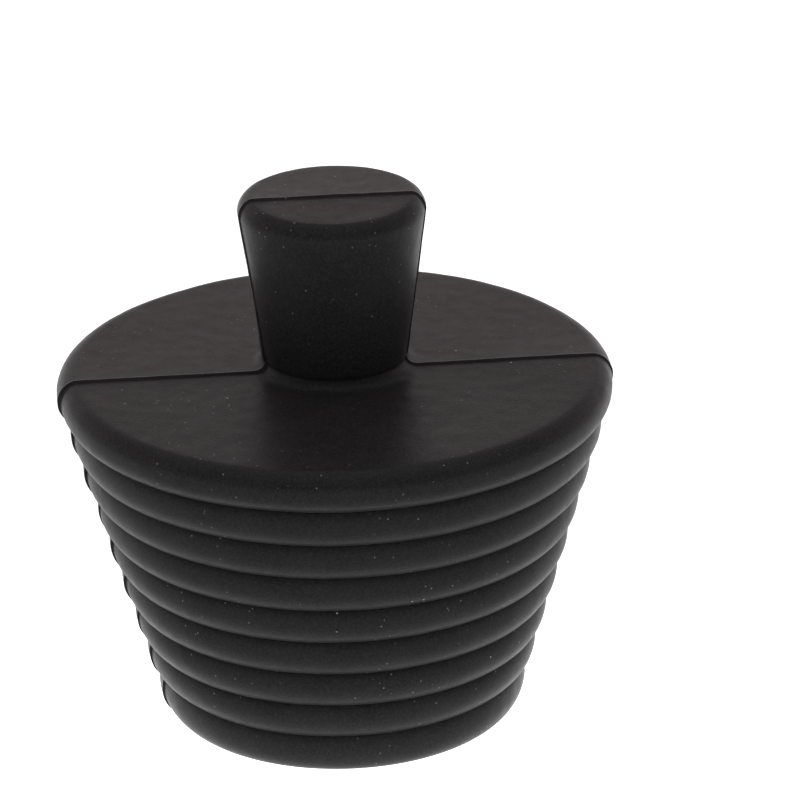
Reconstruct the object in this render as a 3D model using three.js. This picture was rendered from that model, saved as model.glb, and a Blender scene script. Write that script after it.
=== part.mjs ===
// A tapered drain stopper of black silicone rubber: a flared pull knob on an elastic neck, a round flange that
// covers the drain, and a hollow tapered plug whose outside carries eight sealing ribs.
// The frame is in millimetres with +Z up. The origin is the centre of the plug's foot, at the rest plane.
// The knob leans by bending its neck: the centre of the neck's top face is the point that it turns about.

import * as THREE from "three";

// ---- Driving dimensions ----
const FLANGE_RADIUS = 22.5;
const BODY_HEIGHT = 29.5; // rest plane to the flange's flat top
const FLANGE_THICKNESS = 3.6;
const FLANGE_TOP_EDGE = 1.5;
const FLANGE_BOTTOM_EDGE = 1.9;

const RIB_COUNT = 8;
const TOP_RIB_RADIUS = 21.6;
const BOTTOM_RIB_RADIUS = 15.2;
const RIB_DEPTH = 1.9; // crest to groove
const RIB_SHOULDER = 0.6; // rounding above the crest
const RIB_LIP = 1.35; // rounding below the crest
const RIB_GAP = 0.12; // height of the open groove under each lip

const WALL_THICKNESS = 3.2;
const FOOT_EDGE = 0.8; // rounding of the foot's inner edge
const CEILING_FILLET = 2.5; // rounding between the hollow's wall and its ceiling

const KNOB_TOP_RADIUS = 7.5;
const KNOB_ROOT_RADIUS = 5.7;
const KNOB_HEIGHT = 14.6; // above the flange's flat top
const KNOB_EDGE = 1.1;
const NECK_HEIGHT = 3.8;
const NECK_FILLET = 1.2;

const SEGMENTS = 48;
const ARC_STEPS = 3;

// ---- Derived dimensions ----
const PLUG_HEIGHT = BODY_HEIGHT - FLANGE_THICKNESS;
const RIB_PITCH = PLUG_HEIGHT / RIB_COUNT;
const RIB_STEP = (TOP_RIB_RADIUS - BOTTOM_RIB_RADIUS) / (RIB_COUNT - 1);
const KNOB_SLOPE = (KNOB_TOP_RADIUS - KNOB_ROOT_RADIUS) / KNOB_HEIGHT;

const BLACK_SILICONE = { color: 0x2b292a, roughness: 0.62, metalness: 0 };

// ---- Profile helpers ----

// Points of a circular arc in the profile plane, from one angle to another, in degrees from +r towards +z.
function arc(centreR, centreZ, radius, fromDegrees, toDegrees) {
  const points = [];
  for (let i = 0; i <= ARC_STEPS; i++) {
    const angle = THREE.MathUtils.degToRad(
      THREE.MathUtils.lerp(fromDegrees, toDegrees, i / ARC_STEPS),
    );
    points.push(
      new THREE.Vector2(
        centreR + radius * Math.cos(angle),
        centreZ + radius * Math.sin(angle),
      ),
    );
  }
  return points;
}

function at(radius, height) {
  return new THREE.Vector2(radius, height);
}

// A solid of revolution about Z. The profile runs upwards along the outside, so its faces point out.
function turned(name, profile) {
  const geometry = new THREE.LatheGeometry(profile, SEGMENTS);
  geometry.rotateX(Math.PI / 2); // the lathe turns about Y
  const mesh = new THREE.Mesh(
    geometry,
    new THREE.MeshStandardMaterial(BLACK_SILICONE),
  );
  mesh.name = name;
  return mesh;
}

// ---- Taper ----

// Radius of the conical outside of the wall, which the ribs stand on, at a height.
function wallRadius(height) {
  const crest =
    TOP_RIB_RADIUS - (RIB_STEP * (PLUG_HEIGHT - height)) / RIB_PITCH;
  return crest - RIB_DEPTH;
}

function hollowRadius(height) {
  return wallRadius(height) - WALL_THICKNESS;
}

// ---- Sub-parts ----

// The pull knob: a cone that widens upwards to a flat top with a rounded edge.
function pullKnob() {
  const foot = BODY_HEIGHT + NECK_HEIGHT;
  const top = BODY_HEIGHT + KNOB_HEIGHT;
  return turned("pull_knob", [
    at(0, foot),
    at(KNOB_ROOT_RADIUS + KNOB_SLOPE * NECK_HEIGHT, foot),
    ...arc(KNOB_TOP_RADIUS - KNOB_EDGE, top - KNOB_EDGE, KNOB_EDGE, 0, 90),
    at(0, top),
  ]);
}

// The elastic neck: the root of the knob with the fillet that spreads it onto the flange.
function knobNeck() {
  const top = BODY_HEIGHT + NECK_HEIGHT;
  return turned("knob_neck", [
    at(0, BODY_HEIGHT),
    ...arc(
      KNOB_ROOT_RADIUS + NECK_FILLET,
      BODY_HEIGHT + NECK_FILLET,
      NECK_FILLET,
      270,
      180,
    ),
    at(KNOB_ROOT_RADIUS + KNOB_SLOPE * NECK_HEIGHT, top),
    at(0, top),
  ]);
}

// The flange: a flat disc with a rounded rim, closing the hollow plug.
function topFlange() {
  const underside = PLUG_HEIGHT;
  return turned("top_flange", [
    at(0, underside),
    ...arc(
      FLANGE_RADIUS - FLANGE_BOTTOM_EDGE,
      underside + FLANGE_BOTTOM_EDGE,
      FLANGE_BOTTOM_EDGE,
      270,
      360,
    ),
    ...arc(
      FLANGE_RADIUS - FLANGE_TOP_EDGE,
      BODY_HEIGHT - FLANGE_TOP_EDGE,
      FLANGE_TOP_EDGE,
      0,
      90,
    ),
    at(0, BODY_HEIGHT),
  ]);
}

// The plug's wall: a hollow cone, open at the foot. Its outside has one straight stretch behind each rib.
function taperedWall() {
  const outside = [];
  for (let i = 0; i <= RIB_COUNT; i++) {
    outside.push(at(wallRadius(i * RIB_PITCH), i * RIB_PITCH));
  }
  const foot = hollowRadius(0);
  const ceiling = hollowRadius(PLUG_HEIGHT - CEILING_FILLET);
  return turned("tapered_wall", [
    at(foot + FOOT_EDGE, 0),
    ...outside,
    at(ceiling - CEILING_FILLET, PLUG_HEIGHT),
    ...arc(
      ceiling - CEILING_FILLET,
      PLUG_HEIGHT - CEILING_FILLET,
      CEILING_FILLET,
      90,
      0,
    ),
    at(foot, FOOT_EDGE),
    at(foot + FOOT_EDGE, 0),
  ]);
}

// One sealing rib: a ring on the wall, with a soft shoulder above its crest and a rounded lip below.
// Ribs are numbered from the flange down. The last one is the plug's foot, so it has no groove under it.
function sealingRib(number) {
  const top = PLUG_HEIGHT - (number - 1) * RIB_PITCH;
  const bottom = top - RIB_PITCH;
  const crest = TOP_RIB_RADIUS - RIB_STEP * (number - 1);
  const lipBottom = number === RIB_COUNT ? bottom : bottom + RIB_GAP;
  return turned(`sealing_rib_${number}`, [
    at(wallRadius(bottom), bottom),
    at(crest - RIB_LIP, lipBottom),
    ...arc(crest - RIB_LIP, lipBottom + RIB_LIP, RIB_LIP, 270, 360).slice(1),
    ...arc(crest - RIB_SHOULDER, top - RIB_SHOULDER, RIB_SHOULDER, 0, 90),
    at(wallRadius(top), top),
    at(wallRadius(bottom), bottom),
  ]);
}

const stopper = new THREE.Group();
stopper.add(pullKnob(), knobNeck(), topFlange(), taperedWall());
for (let number = 1; number <= RIB_COUNT; number++) {
  stopper.add(sealingRib(number));
}

export default stopper;
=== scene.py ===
# A black silicone drain stopper on a pale floor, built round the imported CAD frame.
# Shapes are worked out in millimetres and stored in metres. The front half of the mould is on the -Y side.

import math
from collections import namedtuple

import bmesh
import bpy
from mathutils import Matrix, Vector, noise


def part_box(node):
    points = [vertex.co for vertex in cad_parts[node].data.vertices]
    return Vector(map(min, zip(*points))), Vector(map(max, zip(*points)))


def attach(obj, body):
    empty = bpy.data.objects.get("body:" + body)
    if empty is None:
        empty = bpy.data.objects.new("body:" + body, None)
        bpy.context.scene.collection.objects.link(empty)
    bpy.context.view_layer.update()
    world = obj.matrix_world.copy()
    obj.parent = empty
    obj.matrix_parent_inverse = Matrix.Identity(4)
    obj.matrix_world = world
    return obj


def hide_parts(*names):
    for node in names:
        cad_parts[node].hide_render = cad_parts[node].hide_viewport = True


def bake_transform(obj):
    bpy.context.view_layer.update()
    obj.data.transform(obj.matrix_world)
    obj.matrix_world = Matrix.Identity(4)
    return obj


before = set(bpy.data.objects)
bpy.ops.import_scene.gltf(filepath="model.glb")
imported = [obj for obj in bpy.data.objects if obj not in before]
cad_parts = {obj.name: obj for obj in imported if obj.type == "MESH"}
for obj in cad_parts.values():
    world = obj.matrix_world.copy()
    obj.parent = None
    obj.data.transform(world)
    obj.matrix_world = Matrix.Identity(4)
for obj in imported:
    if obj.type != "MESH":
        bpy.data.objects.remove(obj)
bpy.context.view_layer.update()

MM = 0.001


def node_box(node):
    low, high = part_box(node)
    return low / MM, high / MM


# ---- Sizes from the frame ----
knob_low, knob_high = node_box("pull_knob")
flange_low, flange_high = node_box("top_flange")
_, wall_high = node_box("tapered_wall")
RIB_COUNT = sum(name.startswith("sealing_rib_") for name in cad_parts)
rib_boxes = [node_box(f"sealing_rib_{i + 1}") for i in range(RIB_COUNT)]

FLANGE_TOP = flange_high.z
FLANGE_RADIUS = flange_high.x
PLUG_HEIGHT = flange_low.z
KNOB_TOP = knob_high.z
KNOB_TOP_RADIUS = knob_high.x
PIVOT = knob_low.z  # both hinges of the knob cross the axis here
RIB_PITCH = PLUG_HEIGHT / RIB_COUNT
RIB_STEP = (rib_boxes[0][1].x - rib_boxes[-1][1].x) / (RIB_COUNT - 1)
WALL_TOP_RADIUS = wall_high.x

# ---- Sizes of the fine shape, in millimetres ----
FLANGE_TOP_EDGE = 1.5
FLANGE_BOTTOM_EDGE = 1.9
KNOB_ROOT_RADIUS = 5.7
KNOB_EDGE = 1.1
KNOB_POLE_RADIUS = 4.7  # inside it the columns of the knob and the neck close on the seam
NECK_FILLET = 1.2
NECK_SKIRT = 0.5  # flat ring round the fillet that the neck piece takes from the flange
END_ROW = 0.05  # height of the rows at the shared edge of neck and knob, so that both shade alike there
SEAT_DEPTH = 0.5  # how far the neck piece is let into the flange
LIP_HEIGHT = 2.0  # from a rib's lip up to its crest
LIP_DEPTH = 1.8  # how far the bend under the crest would go in over a quarter turn
LIP_TURN = 60  # degrees of that turn which the lip has before its edge
SHOULDER_DEPTH = 0.6
SHOULDER_TURN = 90
RIB_GAP = 0.23  # the lip's edge is this far above the rib's nominal bottom
RIB_LAP = 0.31  # how far each rib's top reaches into the piece above
RIB_ROOT = 0.6  # how far each rib reaches into the wall
WALL_THICKNESS = 3.2
FOOT_EDGE = 0.8
FOOT_RISE = 0.1  # the wall's outer edge at the foot is this far up, inside the last rib
FOOT_MARGIN = 0.05  # the wall begins to rise this far inside the rib's inner edge
CEILING_FILLET = 2.5
CEILING_LAP = 0.02  # the flange's underside covers the thin edge of the ceiling fillet
CEILING_RING = 1  # width of the ring of the flange's underside that rises from there to the wall's top
SAME_POINT = 0.0001

# ---- Mould marks, in millimetres ----
# How far the rear half of the mould sat towards -X, and how much larger it was all round
Mismatch = namedtuple("Mismatch", "side proud")

PARTING_PLACE = -1.3  # y of the parting plane at the flange's top
PARTING_LEAN = 0.03  # its change in y with height
MISMATCH_UP = 0.13  # the rear half of the mould sat this much higher at the top
FLANGE_MISMATCH = Mismatch(side=0.08, proud=0.16)
KNOB_MISMATCH = Mismatch(side=0.0, proud=0.1)
RIB_PROUD = 0.06
RIB_SIDES = (0.12, 0.14, 0.02, 0.11, 0.11, 0.05, 0.07, 0.08)  # the first rib's first
STEP_HALF = 0.012  # half the width of the step between the halves
SEAM_HALF_WIDTH = 0.4
SEAM_FRONT = (-SEAM_HALF_WIDTH, -0.16, -0.05, -STEP_HALF)  # columns across the seam, from the parting plane
SEAM_REAR = (STEP_HALF, 0.04, 0.09, 0.16, 0.25, SEAM_HALF_WIDTH)
FLASH_HEIGHT = 0.05
FLASH_WIDTH = 0.24
FLASH_SHARE = 0.6  # the flash's mean height as a share of its greatest, and how much it varies
FLASH_SCALE = 0.8  # per millimetre
FLASH_SEED = 7.0
FLANGE_SWELL = 0.24  # the flats rise this much towards the parting line
KNOB_SWELL = 0.36
SWELL_REACH = 6.5
CORE_RADIUS = 0.5  # nothing is proud or has flash sideways this close to the axis
SLOW_SIZE = 0.05  # waviness of the cast surface
SLOW_SCALE = 0.13  # per millimetre
QUICK_SIZE = 0.018
QUICK_SCALE = 0.9
WAVE_SEED = 1  # without one the waviness would follow the clock
CALM_HEIGHT = 1.5  # the waviness grows from nothing over this height above the foot

# ---- Mesh detail ----
SWEEP_STEPS = 110  # columns in each half, between those of the seam
ARC_STEPS = 12
RIB_STEPS = 14
# Steps along the straight stretches of an outline
LONG_STEPS = 24  # the sides of the knob and the wall, and the flange's top
MIDDLE_STEPS = 12  # the neck's side and the flange's underside
TOP_STEPS = 10  # the knob's top
CAP_STEPS = 6  # the hidden faces where two pieces meet
LAND_STEPS = 4  # the wall's top
SHORT_STEPS = 3
RIM_STEPS = 2

Row = namedtuple("Row", "radius height normal shift hidden sharp")


# ---- Outlines ----


def arc(centre_r, centre_z, radius, start, end):
    """Points of an arc, from one angle to another in degrees from +r towards +z."""
    angles = [math.radians(start + (end - start) * i / ARC_STEPS) for i in range(ARC_STEPS + 1)]
    return [(centre_r + radius * math.cos(a), centre_z + radius * math.sin(a)) for a in angles]


def line(start, end, steps):
    return [tuple(s + (e - s) * i / steps for s, e in zip(start, end)) for i in range(steps + 1)]


def run(points, shift=1.0, hidden=False):
    """A smooth stretch of an outline. shift is its share of the mould halves' mismatch, or one share for
    each end. A hidden stretch is inside another piece, and is neither proud nor has flash."""
    clean = [p for i, p in enumerate(points) if i == 0 or math.dist(p, points[i - 1]) > SAME_POINT]
    first, last = shift if isinstance(shift, tuple) else (shift, shift)
    rows = []
    for i, (radius, height) in enumerate(clean):
        before = clean[max(i - 1, 0)]
        after = clean[min(i + 1, len(clean) - 1)]
        normal = Vector((after[1] - before[1], before[0] - after[0])).normalized()
        share = first + (last - first) * i / (len(clean) - 1)
        rows.append(Row(radius, height, normal, share, hidden, False))
    return rows


def outline(*runs):
    """Joins runs end to end. Where two meet there is a sharp edge, with the row of the one in sight."""
    rows = list(runs[0])
    for stretch in runs[1:]:
        kept = stretch[0] if rows[-1].hidden else rows[-1]
        rows[-1] = kept._replace(sharp=True)
        rows += stretch[1:]
    return rows


# ---- Turned meshes with a parting line ----


def make_columns():
    """Columns round the axis, from the front of the right-hand seam: across the seam, over the rear half,
    across the left-hand seam and back over the front half. Each is ("seam", side, y from the parting plane)
    or ("half", half, angle)."""
    angles = [math.pi * i / SWEEP_STEPS for i in range(1, SWEEP_STEPS)]
    seam = SEAM_FRONT + SEAM_REAR
    right = [("seam", 1, y) for y in seam]
    rear = [("half", 1, a) for a in angles]
    left = [("seam", -1, y) for y in reversed(seam)]
    front = [("half", -1, a) for a in reversed(angles)]
    return right + rear + left + front


COLUMNS = make_columns()


def parting(height):
    return PARTING_PLACE + PARTING_LEAN * (height - FLANGE_TOP)


def on_circle(column, radius, height):
    kind, side, place = column
    if kind == "seam":
        y = parting(height) + place
        return side * math.sqrt(radius * radius - y * y), y
    edge = parting(height) + side * SEAM_HALF_WIDTH
    y = edge + (side * radius - edge) * math.sin(place)
    x = math.sqrt(max(radius * radius - y * y, 0.0))
    return math.copysign(x, math.cos(place)), y


def on_row(column, row, flat_radius):
    """x and y of a column on a row. Inside flat_radius the columns close on a short line along the seam."""
    if row.radius >= flat_radius:
        return on_circle(column, row.radius, row.height)
    x, y = on_circle(column, flat_radius, row.height)
    share = row.radius / flat_radius
    seam = parting(row.height)
    pole = max(seam - SEAM_HALF_WIDTH, min(seam + SEAM_HALF_WIDTH, y))
    return x * share, pole + (y - pole) * share


def clamp(value):
    return max(0.0, min(1.0, value))


def uneven(point):
    """Slow waviness of a cast rubber surface, none at the plane that the stopper rests on."""
    slow = noise.noise_vector(point * SLOW_SCALE) * SLOW_SIZE
    quick = noise.noise_vector(point * QUICK_SCALE) * QUICK_SIZE
    return (slow + quick) * clamp(point.z / CALM_HEIGHT)


def moulded(x, y, row, mismatch, swell):
    """The place of a surface point, with the rear half's mismatch, the flash along the seam, the flats'
    swell towards it and the waviness. Nothing goes below the foot."""
    behind = y - parting(row.height)
    rear = clamp((behind + STEP_HALF) / (2 * STEP_HALF)) * row.shift
    varied = noise.noise(Vector((x, row.height, FLASH_SEED)) * FLASH_SCALE)
    along = FLASH_SHARE + FLASH_SHARE * varied
    flash = FLASH_HEIGHT * along * rear * clamp(1 - (behind - STEP_HALF) / FLASH_WIDTH)
    out = Vector((x, y, 0)) if row.radius > CORE_RADIUS else Vector()
    out = out.normalized() * row.normal.x
    halves = mismatch(row.height)
    lift = MISMATCH_UP * min(row.height / FLANGE_TOP, 1.0)
    raised = swell * max(row.normal.y, 0.0) ** 2 * math.exp(-abs(behind) / SWELL_REACH)
    point = Vector((x, y, row.height + lift * rear))
    point.x -= halves.side * rear
    if not row.hidden:
        point += out * (halves.proud * rear + flash)
        point.z += row.normal.y * flash + raised
    point += uneven(point)
    point.z = max(point.z, 0.0)
    return point


def turned(name, rows, mismatch, flat_radius=0.0, closed=False, swell=0.0):
    """A mesh of revolution about Z with a parting line. rows run upwards along the outside."""
    count = len(COLUMNS)
    points = []
    for row in rows:
        for column in COLUMNS:
            x, y = on_row(column, row, flat_radius)
            points.append(moulded(x, y, row, mismatch, swell) * MM)
    faces = []
    last = len(rows) if closed else len(rows) - 1
    for i in range(last):
        low, high = i * count, (i + 1) % len(rows) * count
        for j in range(count):
            k = (j + 1) % count
            faces.append((low + j, low + k, high + k, high + j))
    mesh = bpy.data.meshes.new(name)
    mesh.from_pydata(points, [], faces)
    mesh.validate()
    sharp_rows = {i for i, row in enumerate(rows) if row.sharp}
    for edge in mesh.edges:
        a, b = (v // count for v in edge.vertices)
        edge.use_edge_sharp = a == b and a in sharp_rows
    close_poles(mesh)
    mesh.shade_smooth()
    piece = bpy.data.objects.new(name, mesh)
    bpy.context.scene.collection.objects.link(piece)
    return piece


def close_poles(mesh):
    """Joins the columns' points where a row has closed on the seam, and drops faces with no area left."""
    work = bmesh.new()
    work.from_mesh(mesh)
    bmesh.ops.remove_doubles(work, verts=work.verts, dist=SAME_POINT * MM)
    bmesh.ops.dissolve_degenerate(work, edges=work.edges, dist=SAME_POINT * MM / 10)
    work.to_mesh(mesh)
    work.free()


# ---- Taper ----


def wall_radius(height):
    return WALL_TOP_RADIUS - RIB_STEP * (PLUG_HEIGHT - height) / RIB_PITCH


def hollow_radius(height):
    return wall_radius(height) - WALL_THICKNESS


def knob_radius(height):
    slope = (KNOB_TOP_RADIUS - KNOB_ROOT_RADIUS) / (KNOB_TOP - FLANGE_TOP)
    return KNOB_ROOT_RADIUS + slope * (height - FLANGE_TOP)


def flange_mismatch(height):
    return FLANGE_MISMATCH


def knob_mismatch(height):
    """Goes from the flange's mismatch to the knob's up the neck."""
    rise = clamp((height - FLANGE_TOP) / (PIVOT - FLANGE_TOP))
    return Mismatch(*(a + (b - a) * rise for a, b in zip(FLANGE_MISMATCH, KNOB_MISMATCH)))


def rib_mismatch(number):
    return lambda height: Mismatch(RIB_SIDES[number - 1], RIB_PROUD)


# ---- Pieces ----


def make_knob():
    flat = KNOB_TOP_RADIUS - KNOB_EDGE
    first = PIVOT + END_ROW
    side = line((knob_radius(first), first), (KNOB_TOP_RADIUS, KNOB_TOP - KNOB_EDGE), LONG_STEPS)
    side.insert(0, (knob_radius(PIVOT), PIVOT))
    edge = arc(flat, KNOB_TOP - KNOB_EDGE, KNOB_EDGE, 0, 90)
    top = line((flat, KNOB_TOP), (0, KNOB_TOP), TOP_STEPS)
    cap = line((0, PIVOT), (knob_radius(PIVOT), PIVOT), CAP_STEPS)
    rows = outline(run(cap, hidden=True), run(side + edge + top))
    return turned("silicone_knob", rows, knob_mismatch, KNOB_POLE_RADIUS, swell=KNOB_SWELL)


def make_neck():
    foot = KNOB_ROOT_RADIUS + NECK_FILLET
    skirt = foot + NECK_SKIRT
    seat = FLANGE_TOP - SEAT_DEPTH
    below = line((0, seat), (skirt, seat), CAP_STEPS)
    rim = line((skirt, seat), (skirt, FLANGE_TOP), RIM_STEPS)
    flat = line((skirt, FLANGE_TOP), (foot, FLANGE_TOP), SHORT_STEPS)
    fillet = arc(foot, FLANGE_TOP + NECK_FILLET, NECK_FILLET, 270, 180)
    start = (knob_radius(FLANGE_TOP + NECK_FILLET), FLANGE_TOP + NECK_FILLET)
    last = PIVOT - END_ROW
    side = line(start, (knob_radius(last), last), MIDDLE_STEPS) + [(knob_radius(PIVOT), PIVOT)]
    cap = line((knob_radius(PIVOT), PIVOT), (0, PIVOT), CAP_STEPS)
    rows = outline(
        run(below, hidden=True),
        run(rim, hidden=True),
        run(flat + fillet[:-1] + side),
        run(cap, hidden=True),
    )
    return turned("silicone_neck", rows, knob_mismatch, KNOB_POLE_RADIUS, swell=FLANGE_SWELL)


def make_flange():
    skirt = KNOB_ROOT_RADIUS + NECK_FILLET + NECK_SKIRT
    seat = FLANGE_TOP - SEAT_DEPTH
    under = PLUG_HEIGHT - CEILING_LAP
    inner = wall_radius(PLUG_HEIGHT) - CEILING_RING
    low_flat = FLANGE_RADIUS - FLANGE_BOTTOM_EDGE
    ceiling = line((0, under), (inner, under), MIDDLE_STEPS)
    shelf = line((inner, under), (low_flat, PLUG_HEIGHT), SHORT_STEPS)
    lower = arc(low_flat, PLUG_HEIGHT + FLANGE_BOTTOM_EDGE, FLANGE_BOTTOM_EDGE, 270, 360)
    flat = FLANGE_RADIUS - FLANGE_TOP_EDGE
    upper = arc(flat, FLANGE_TOP - FLANGE_TOP_EDGE, FLANGE_TOP_EDGE, 0, 90)
    top = line((flat, FLANGE_TOP), (skirt, FLANGE_TOP), LONG_STEPS)
    rim = line((skirt, FLANGE_TOP), (skirt, seat), RIM_STEPS)
    floor = line((skirt, seat), (0, seat), CAP_STEPS)
    rows = outline(
        run(ceiling, 0.0),
        run(shelf, (0.0, 1.0)),
        run(lower + upper + top),
        run(rim, hidden=True),
        run(floor, hidden=True),
    )
    return turned("silicone_flange", rows, flange_mismatch, KNOB_ROOT_RADIUS, swell=FLANGE_SWELL)


def make_wall():
    foot = hollow_radius(0)
    spring = PLUG_HEIGHT - CEILING_FILLET
    ceiling = hollow_radius(spring)
    corner = (wall_radius(0), FOOT_RISE)
    outside = line(corner, (wall_radius(PLUG_HEIGHT), PLUG_HEIGHT), LONG_STEPS)
    crown = ceiling - CEILING_FILLET
    top = line((wall_radius(PLUG_HEIGHT), PLUG_HEIGHT), (crown, PLUG_HEIGHT), LAND_STEPS)
    fillet = arc(crown, spring, CEILING_FILLET, 90, 0)
    inside = line((ceiling, spring), (foot, FOOT_EDGE), LONG_STEPS)
    edge = arc(foot + FOOT_EDGE, FOOT_EDGE, FOOT_EDGE, 180, 270)
    covered = (wall_radius(0) - RIB_ROOT - FOOT_MARGIN, 0)
    rest = line((foot + FOOT_EDGE, 0), covered, SHORT_STEPS) + [corner]
    rows = outline(
        run(outside, hidden=True),
        run(top, (1.0, 0.0), hidden=True),
        run(fillet + inside + edge + rest, 0.0),
    )
    return turned("silicone_wall", rows[:-1], rib_mismatch(1), closed=True)


def bend(crest, middle, end, depth, turn):
    """Part of a rib's outside, from its crest at the middle height to its end, as an arc of an ellipse.
    A quarter turn goes in by depth; turn is how much of it there is, in degrees."""
    limit = math.radians(turn)
    points = []
    for i in range(RIB_STEPS + 1):
        angle = limit * i / RIB_STEPS
        along = math.sin(angle) / math.sin(limit)
        points.append((crest - depth * (1 - math.cos(angle)), middle + (end - middle) * along))
    return points


def make_rib(number):
    low, high = rib_boxes[number - 1]
    crest = high.x
    lip = low.z if number == RIB_COUNT else low.z + RIB_GAP
    middle = lip + LIP_HEIGHT
    start = (wall_radius(low.z) - RIB_ROOT, low.z)
    top = high.z + RIB_LAP
    root_top = (wall_radius(high.z) - RIB_ROOT, top)
    lip_points = bend(crest, middle, lip, LIP_DEPTH, LIP_TURN)[::-1]
    shoulder_points = bend(crest, middle, top, SHOULDER_DEPTH, SHOULDER_TURN)
    under = line(start, lip_points[0], SHORT_STEPS)
    over = line(shoulder_points[-1], root_top, SHORT_STEPS)
    back = line(root_top, start, SHORT_STEPS)
    face = lip_points + shoulder_points + over
    rows = outline(run(under), run(face), run(back, hidden=True))
    rows[0] = rows[0]._replace(sharp=True)
    return turned(f"silicone_rib_{number}", rows[:-1], rib_mismatch(number), closed=True)


# ---- Looks ----
# Texture scales are per metre. A range is the low and high that come in, then those that go out.
Noise = namedtuple("Noise", "scale detail")
Dust = namedtuple("Dust", "scale radius share spread colour")

NOISE_ROUGHNESS = 0.55
TONE_NOISE = Noise(260, 3)
TONE_STOPS = ((0.3, (0.011, 0.0104, 0.0106)), (0.7, (0.015, 0.014, 0.0144)))
GRAIN_NOISE = Noise(5200, 2)
GRAIN_RANGE = (0.4, 0.72, 0, 0.6)
GRAIN_COLOUR = (0.03, 0.028, 0.029, 1)
COARSE_DUST = Dust(700, 0.07, 0.3, Noise(90, 1), (0.3, 0.28, 0.26, 1))
FINE_DUST = Dust(1500, 0.12, 0.55, Noise(130, 1), (0.14, 0.13, 0.12, 1))
DUST_EDGE = 0.7  # a speck begins to fade at this share of its radius
DUST_CUT = 0.02  # how sharply the cells with a speck are told from those without
GATHER_RANGE = (0.5, 0.58, 0, 1)
GLOSS_NOISE = Noise(900, 4)
GLOSS_RANGE = (0.3, 0.7, 0.33, 0.41)
BUMP_NOISE = Noise(5500, 3)
BUMP = {"Strength": 0.5, "Distance": 0.03 * MM}
SILICONE = {
    "IOR": 1.43,
    "Specular IOR Level": 0.1,
    "Sheen Weight": 0.05,
    "Sheen Roughness": 0.3,
    "Sheen Tint": (1.0, 0.84, 0.78, 1),
}

# The colour sockets of a mix node, whose names are shared by its other sockets
MIX_A = 6
MIX_B = 7
MIX_RESULT = 2


class Graph:
    """The empty node tree of a material or world, with a short way to add each kind of node."""

    def __init__(self, owner):
        owner.use_nodes = True
        self.nodes = owner.node_tree.nodes
        self.links = owner.node_tree.links
        self.nodes.clear()

    def add(self, kind, inputs=None, **settings):
        """A new node. Each of its inputs is linked from a socket or set to a value."""
        node = self.nodes.new("ShaderNode" + kind)
        for name, value in settings.items():
            setattr(node, name, value)
        for key, value in (inputs or {}).items():
            if isinstance(value, bpy.types.NodeSocket):
                self.links.new(value, node.inputs[key])
            else:
                node.inputs[key].default_value = value
        return node

    def noise(self, place, texture):
        inputs = {"Vector": place, "Scale": texture.scale, "Detail": texture.detail}
        return self.add("TexNoise", inputs | {"Roughness": NOISE_ROUGHNESS}).outputs["Fac"]

    def mapped(self, value, low, high, to_low, to_high):
        source = {"Value": value, "From Min": low, "From Max": high}
        return self.add("MapRange", source | {"To Min": to_low, "To Max": to_high}).outputs["Result"]

    def product(self, a, b):
        return self.add("Math", {0: a, 1: b}, operation="MULTIPLY").outputs["Value"]

    def mixed(self, share, a, b):
        node = self.add("Mix", {"Factor": share, MIX_A: a, MIX_B: b}, data_type="RGBA")
        return node.outputs[MIX_RESULT]

    def ramp(self, value, stops):
        node = self.add("ValToRGB", {"Fac": value})
        elements = node.color_ramp.elements
        while len(elements) < len(stops):
            elements.new(0.5)
        for element, (position, colour) in zip(elements, stops):
            element.position = position
            element.color = (*colour, 1)
        return node.outputs["Color"]


def dusted(graph, place, dust, colour):
    """A colour with small round specks in some of the cells, gathered where a slow noise is high."""
    cells = graph.add("TexVoronoi", {"Vector": place, "Scale": dust.scale}).outputs
    near = graph.mapped(cells["Distance"], dust.radius * DUST_EDGE, dust.radius, 1, 0)
    chosen = graph.mapped(cells["Color"], 1 - dust.share, 1 + DUST_CUT - dust.share, 0, 1)
    gathered = graph.mapped(graph.noise(place, dust.spread), *GATHER_RANGE)
    specks = graph.product(graph.product(near, chosen), gathered)
    return graph.mixed(specks, colour, dust.colour)


def silicone():
    """Matte black silicone with a fine cast grain, a slow change of tone, a faint bloom and dust."""
    material = bpy.data.materials.new("black_silicone")
    graph = Graph(material)
    place = graph.add("TexCoord").outputs["Object"]
    tone = graph.ramp(graph.noise(place, TONE_NOISE), TONE_STOPS)
    grain = graph.mapped(graph.noise(place, GRAIN_NOISE), *GRAIN_RANGE)
    colour = graph.mixed(grain, tone, GRAIN_COLOUR)
    colour = dusted(graph, place, COARSE_DUST, colour)
    colour = dusted(graph, place, FINE_DUST, colour)
    roughness = graph.mapped(graph.noise(place, GLOSS_NOISE), *GLOSS_RANGE)
    bump = graph.add("Bump", BUMP | {"Height": graph.noise(place, BUMP_NOISE)})
    surface = {"Base Color": colour, "Roughness": roughness, "Normal": bump.outputs["Normal"]}
    shader = graph.add("BsdfPrincipled", SILICONE | surface)
    graph.add("OutputMaterial", {"Surface": shader.outputs["BSDF"]})
    return material


# ---- Studio ----
FLOOR_REACH = 3.0  # metres
FLOOR_CORNERS = ((-1, -1), (1, -1), (1, 1), (-1, 1))
FLOOR = {"Base Color": (0.35, 0.35, 0.35, 1), "Roughness": 0.9, "Emission Color": (1, 1, 1, 1)}
FLOOR_LIGHT = 1.02
FOOT_LIGHT = 1.8  # of the floor round the foot
GLOW_START = 16 * MM  # between these distances from the middle, one light passes into the other
GLOW_END = 34 * MM

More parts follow.
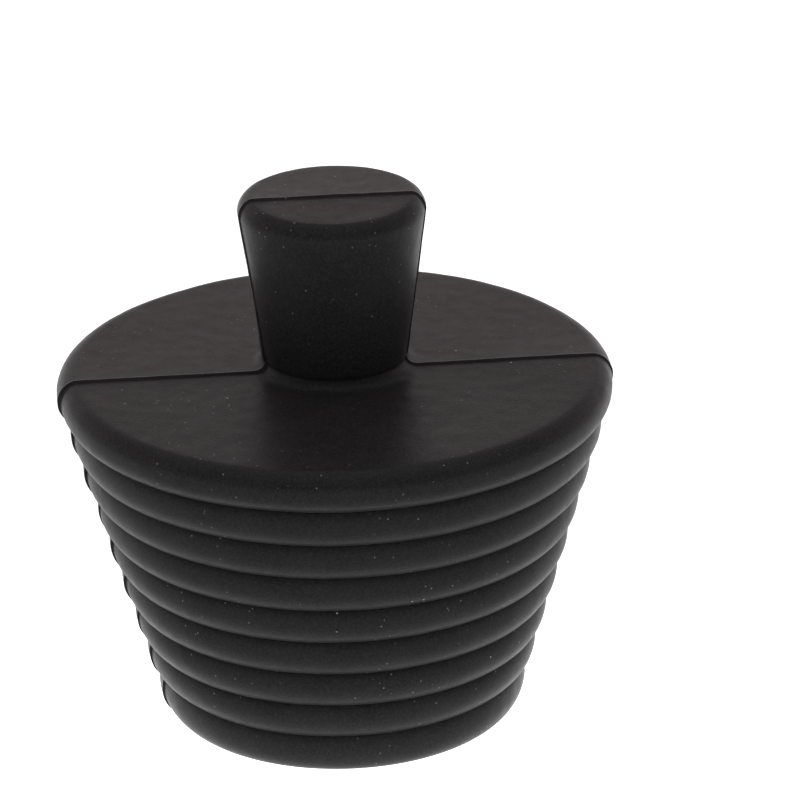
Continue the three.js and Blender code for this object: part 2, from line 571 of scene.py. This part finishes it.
# Light from each height of the sky, from 0 at the horizon to 1 overhead
ROOM_LEVELS = ((0.0, 0.8), (0.2, 0.25), (0.45, 0.14), (1.0, 1.1))
ROOM_TINT = (1.0, 1.0, 1.0)
REAR_LEVELS = ((0.12, 0.0), (0.3, 1.2), (0.5, 0.25), (0.75, 0.0))
REAR_TINT = (1.0, 0.86, 0.88)
REAR_EDGE = 0.5  # the rear light fades in between this far in front of the middle and this far behind it

# The camera's place is in millimetres from the origin, before it is turned about the part's axis.
CAMERA_TURN = math.radians(-5)
CAMERA_DROP = 0.4029  # radians below level
CAMERA_ROLL = -0.0194
CAMERA_SIDE = 5.18
CAMERA_BACK = 337.6
CAMERA_HEIGHT = 170.2
CAMERA_LENS = 202.25
SENSOR_WIDTH = 36
CLIP_START = 0.01  # metres
CLIP_END = 20


def make_floor():
    """A pale floor that gives light, a little more of it round the foot."""
    corners = [(x * FLOOR_REACH, y * FLOOR_REACH, 0) for x, y in FLOOR_CORNERS]
    mesh = bpy.data.meshes.new("floor")
    mesh.from_pydata(corners, [], [(0, 1, 2, 3)])
    floor = bpy.data.objects.new("floor", mesh)
    bpy.context.scene.collection.objects.link(floor)
    material = bpy.data.materials.new("floor")
    graph = Graph(material)
    place = graph.add("TexCoord").outputs["Object"]
    distance = graph.add("VectorMath", {0: place}, operation="LENGTH").outputs["Value"]
    light = graph.mapped(distance, GLOW_START, GLOW_END, FOOT_LIGHT, FLOOR_LIGHT)
    shader = graph.add("BsdfPrincipled", FLOOR | {"Emission Strength": light})
    graph.add("OutputMaterial", {"Surface": shader.outputs["BSDF"]})
    mesh.materials.append(material)


def tinted(levels, tint):
    return [(height, tuple(level * share for share in tint)) for height, level in levels]


def make_world():
    """A studio that is light round the horizon, dark above it and bright overhead, with a large soft light
    low at the rear."""
    world = bpy.data.worlds.new("studio")
    bpy.context.scene.world = world
    graph = Graph(world)
    direction = graph.add("TexCoord").outputs["Generated"]
    split = graph.add("SeparateXYZ", {"Vector": direction}).outputs
    room = graph.ramp(split["Z"], tinted(ROOM_LEVELS, ROOM_TINT))
    rear = graph.ramp(split["Z"], tinted(REAR_LEVELS, REAR_TINT))
    behind = graph.mapped(split["Y"], -REAR_EDGE, REAR_EDGE, 0, 1)
    rear = graph.add("VectorMath", {0: rear, "Scale": behind}, operation="SCALE").outputs["Vector"]
    total = graph.add("VectorMath", {0: room, 1: rear}, operation="ADD").outputs["Vector"]
    background = graph.add("Background", {"Color": total, "Strength": 1.0})
    graph.add("OutputWorld", {"Surface": background.outputs["Background"]})


def make_camera():
    data = bpy.data.cameras.new("camera")
    data.lens = CAMERA_LENS
    data.sensor_width = SENSOR_WIDTH
    data.clip_start = CLIP_START
    data.clip_end = CLIP_END
    camera = bpy.data.objects.new("camera", data)
    bpy.context.scene.collection.objects.link(camera)
    turn = Matrix.Rotation(CAMERA_TURN, 4, "Z")
    place = Matrix.Translation(Vector((CAMERA_SIDE, -CAMERA_BACK, CAMERA_HEIGHT)) * MM)
    tilt = Matrix.Rotation(math.pi / 2 - CAMERA_DROP, 4, "X")
    roll = Matrix.Rotation(CAMERA_ROLL, 4, "Z")
    camera.matrix_world = turn @ place @ tilt @ roll
    bpy.context.scene.camera = camera


# ---- The stopper ----
noise.seed_set(WAVE_SEED)
material = silicone()
knob = make_knob()
neck = make_neck()
plug_pieces = {"top_flange": make_flange(), "tapered_wall": make_wall()}
for number in range(1, RIB_COUNT + 1):
    plug_pieces[f"sealing_rib_{number}"] = make_rib(number)

for piece in (knob, neck, *plug_pieces.values()):
    piece.data.materials.append(material)

for node, piece in plug_pieces.items():
    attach(piece, "plug")
    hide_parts(node)

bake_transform(neck)
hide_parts("knob_neck")
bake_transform(knob)
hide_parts("pull_knob")

# ---- The scene ----
make_floor()
make_world()
make_camera()
bpy.context.scene.view_settings.view_transform = "Standard"
